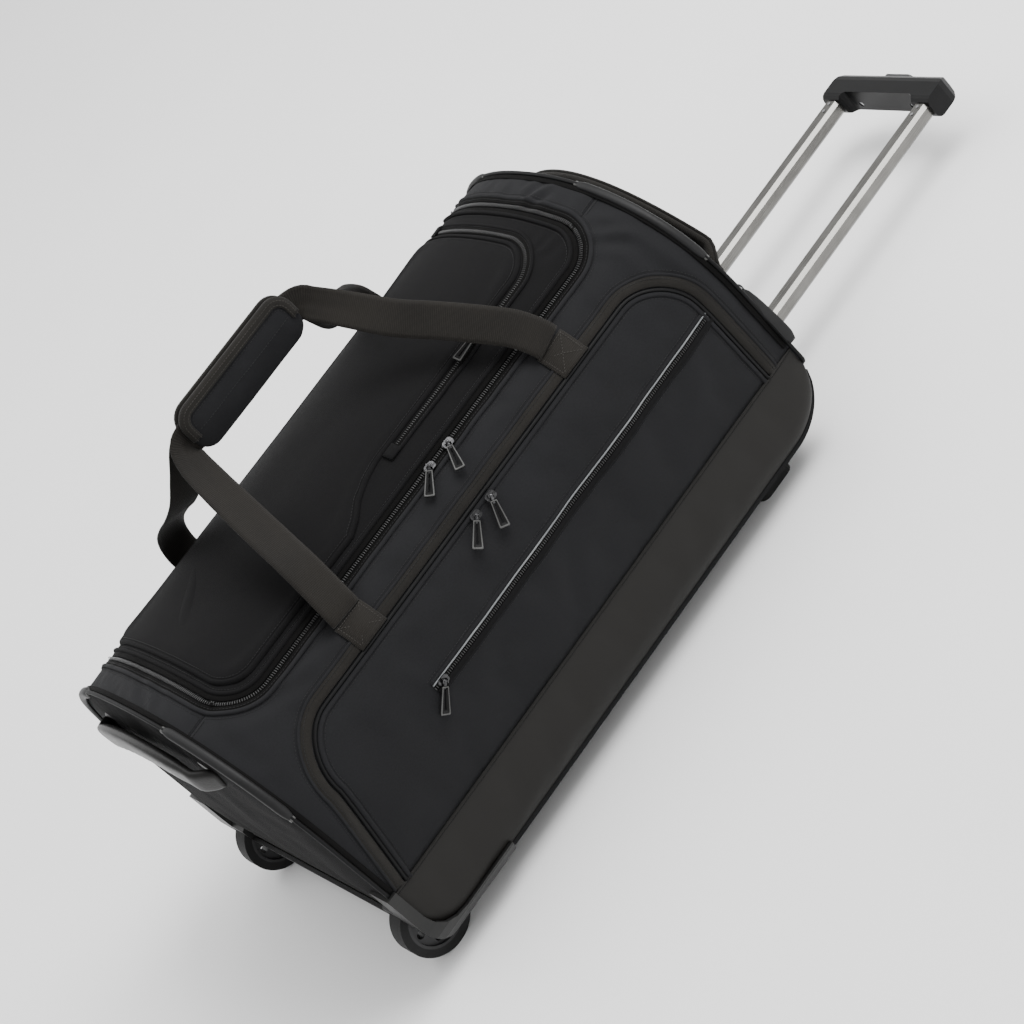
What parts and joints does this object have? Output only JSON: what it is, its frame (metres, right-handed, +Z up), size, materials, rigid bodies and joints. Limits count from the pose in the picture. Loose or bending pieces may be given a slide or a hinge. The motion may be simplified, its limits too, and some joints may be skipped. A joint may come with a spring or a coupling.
{
  "type": "rolling duffel bag",
  "caption": "Arched soft duffel on inline wheels with a zipped lid, front pocket, carry straps, end grab handles and a telescopic pull handle.",
  "frame": {"origin": "on the floor, under the middle of the whole object's box with the telescopic handle out", "axes": "+X from the wheel end to the handle end, -Y towards the front pocket, +Z up from the base"},
  "size_m": [1.118, 0.4512, 0.51],
  "materials": {
    "nylon": "matt woven polyester",
    "coated_band": "smooth coated fabric",
    "lining": "matt woven lining",
    "webbing": "woven webbing",
    "piping": "satin",
    "guard_rubber": "moulded satin rubber",
    "moulded_black": "fine moulded grain",
    "grip_black": "satin moulded",
    "board": "matt board",
    "zip_tape": "woven tape with nylon coil",
    "handle_leather": "soft moulded",
    "tube_aluminium": "satin anodised",
    "steel": "zinc plated",
    "puller_metal": "dark nickel",
    "tyre_rubber": "matt rubber",
    "hub_plastic": "satin",
    "button_plastic": "satin"
  },
  "bodies": {
    "bag": {"front_panel": "nylon", "back_panel": "nylon", "top_strips": "nylon", "side_bands": "coated_band", "base_panel": "coated_band", "wheel_end_panel": "nylon", "handle_end_panel": "nylon", "end_piping": "piping", "corner_guards": "guard_rubber", "body_zips": "zip_tape", "pocket_lining": "lining", "base_board": "board", "base_tray": "moulded_black", "wheel_housings": "moulded_black", "axles": "steel", "feet_and_skids": "moulded_black", "fixed_fasteners": "steel", "rails": "tube_aluminium", "rail_brackets": "moulded_black", "rail_cover": "lining", "handle_bezel": "moulded_black", "wheel_end_grab_handle": "handle_leather", "handle_end_grab_handle": "handle_leather", "strap_tabs": "webbing"},
    "front_wheel": {"front_tyre": "tyre_rubber", "front_hub": "hub_plastic", "front_bearings": "steel"},
    "back_wheel": {"back_tyre": "tyre_rubber", "back_hub": "hub_plastic", "back_bearings": "steel"},
    "trolley": {"inner_tubes": "tube_aluminium", "slide_blocks": "moulded_black", "grip_shell": "grip_black", "grip_cover": "grip_black", "handle_fasteners": "steel", "button_springs": "steel"},
    "release": {"release_button": "button_plastic", "push_rods": "steel"},
    "lock_pins": {"lock_pins": "steel"},
    "lid": {"lid_panel": "nylon", "lid_pocket_panel": "nylon", "lid_zips": "zip_tape"},
    "pocket_flap": {"pocket_panel": "nylon", "panel_zip": "zip_tape"},
    "front_strap": {"front_loop": "webbing", "front_grip_pad": "nylon"},
    "back_strap": {"back_loop": "webbing", "back_grip_pad": "nylon"},
    "main_slider_a": {"main_slider_a": "puller_metal"},
    "main_puller_a": {"main_puller_a": "puller_metal"},
    "main_slider_b": {"main_slider_b": "puller_metal"},
    "main_puller_b": {"main_puller_b": "puller_metal"},
    "pocket_slider_a": {"pocket_slider_a": "puller_metal"},
    "pocket_puller_a": {"pocket_puller_a": "puller_metal"},
    "pocket_slider_b": {"pocket_slider_b": "puller_metal"},
    "pocket_puller_b": {"pocket_puller_b": "puller_metal"},
    "panel_slider": {"panel_slider": "puller_metal"},
    "panel_puller": {"panel_puller": "puller_metal"},
    "lid_pocket_slider": {"lid_pocket_slider": "puller_metal"},
    "lid_pocket_puller": {"lid_pocket_puller": "puller_metal"}
  },
  "joints": [
    {"name": "front_wheel_spin", "type": "hinge", "parent": "bag", "child": "front_wheel", "pos_m": [-0.519, -0.172, 0.04], "axis": [0, 1, 0], "continuous": true},
    {"name": "back_wheel_spin", "type": "hinge", "parent": "bag", "child": "back_wheel", "pos_m": [-0.519, 0.172, 0.04], "axis": [0, 1, 0], "continuous": true},
    {"name": "handle_slide", "type": "slide", "parent": "bag", "child": "trolley", "axis": [1, 0, 0], "range_m": [-0.33, 0]},
    {"name": "button_press", "type": "slide", "parent": "trolley", "child": "release", "axis": [-1, 0, 0], "range_m": [0, 0.005], "stiffness_N_per_m": 800, "springref_m": -0.004, "deforming": ["button_springs"]},
    {"name": "lock_pin_drop", "type": "slide", "parent": "trolley", "child": "lock_pins", "axis": [0, 0, -1], "range_m": [0, 0.0035]},
    {"name": "lid_hinge", "type": "hinge", "parent": "bag", "child": "lid", "pos_m": [-0.192, 0.1482, 0.33379], "axis": [-1, 0, 0], "range_deg": [0, 90]},
    {"name": "front_strap_swing", "type": "hinge", "parent": "bag", "child": "front_strap", "pos_m": [-0.192, -0.1754, 0.319], "axis": [1, 0, 0], "range_deg": [0, 135]},
    {"name": "back_strap_swing", "type": "hinge", "parent": "bag", "child": "back_strap", "pos_m": [-0.192, 0.1754, 0.319], "axis": [-1, 0, 0], "range_deg": [0, 135]},
    {"name": "pocket_flap_hinge", "type": "hinge", "parent": "bag", "child": "pocket_flap", "pos_m": [-0.192, -0.2192, 0.1182], "axis": [1, 0, 0], "range_deg": [0, 25]},
    {"name": "main_slider_a_slide", "type": "slide", "parent": "bag", "child": "main_slider_a", "axis": [1, 0, 0], "range_m": [-0.09, 0]},
    {"name": "main_slider_b_slide", "type": "slide", "parent": "bag", "child": "main_slider_b", "axis": [1, 0, 0], "range_m": [0, 0.095]},
    {"name": "pocket_slider_a_slide", "type": "slide", "parent": "pocket_flap", "child": "pocket_slider_a", "axis": [1, 0, 0], "range_m": [-0.2, 0]},
    {"name": "pocket_slider_b_slide", "type": "slide", "parent": "pocket_flap", "child": "pocket_slider_b", "axis": [1, 0, 0], "range_m": [0, 0.2]},
    {"name": "panel_slider_slide", "type": "slide", "parent": "pocket_flap", "child": "panel_slider", "axis": [1, 0, 0], "range_m": [0, 0.43]},
    {"name": "lid_pocket_slider_slide", "type": "slide", "parent": "lid", "child": "lid_pocket_slider", "axis": [1, 0, 0], "range_m": [-0.13, 0.05]},
    {"name": "main_puller_a_flip", "type": "hinge", "parent": "main_slider_a", "child": "main_puller_a", "pos_m": [-0.184, -0.15719, 0.33565], "axis": [-0.6157, 0.6544, 0.439], "range_deg": [0, 90]},
    {"name": "main_puller_b_flip", "type": "hinge", "parent": "main_slider_b", "child": "main_puller_b", "pos_m": [-0.154, -0.15719, 0.33565], "axis": [-0.866, 0.4152, 0.2786], "range_deg": [0, 90]},
    {"name": "pocket_puller_a_flip", "type": "hinge", "parent": "pocket_slider_a", "child": "pocket_puller_a", "pos_m": [-0.199, -0.20411, 0.28755], "axis": [-0.6157, 0.4109, 0.6724], "range_deg": [0, 90]},
    {"name": "pocket_puller_b_flip", "type": "hinge", "parent": "pocket_slider_b", "child": "pocket_puller_b", "pos_m": [-0.175, -0.20411, 0.28755], "axis": [-0.866, 0.2607, 0.4267], "range_deg": [0, 90]},
    {"name": "panel_puller_flip", "type": "hinge", "parent": "panel_slider", "child": "panel_puller", "pos_m": [-0.344, -0.2258, 0.219], "axis": [-0.682, 0, 0.7314], "range_deg": [0, 90]},
    {"name": "lid_pocket_puller_flip", "type": "hinge", "parent": "lid_pocket_slider", "child": "lid_pocket_puller", "pos_m": [-0.042, -0.11231, 0.35807], "axis": [0, 0.9407, 0.3392], "range_deg": [0, 30]}
  ],
  "couplings": [
    {"joint": "front_strap_swing", "follows": "lid_hinge", "ratio": 1.5},
    {"joint": "back_strap_swing", "follows": "lid_hinge", "ratio": 1.5},
    {"joint": "lock_pin_drop", "follows": "button_press", "ratio": 0.7}
  ]
}
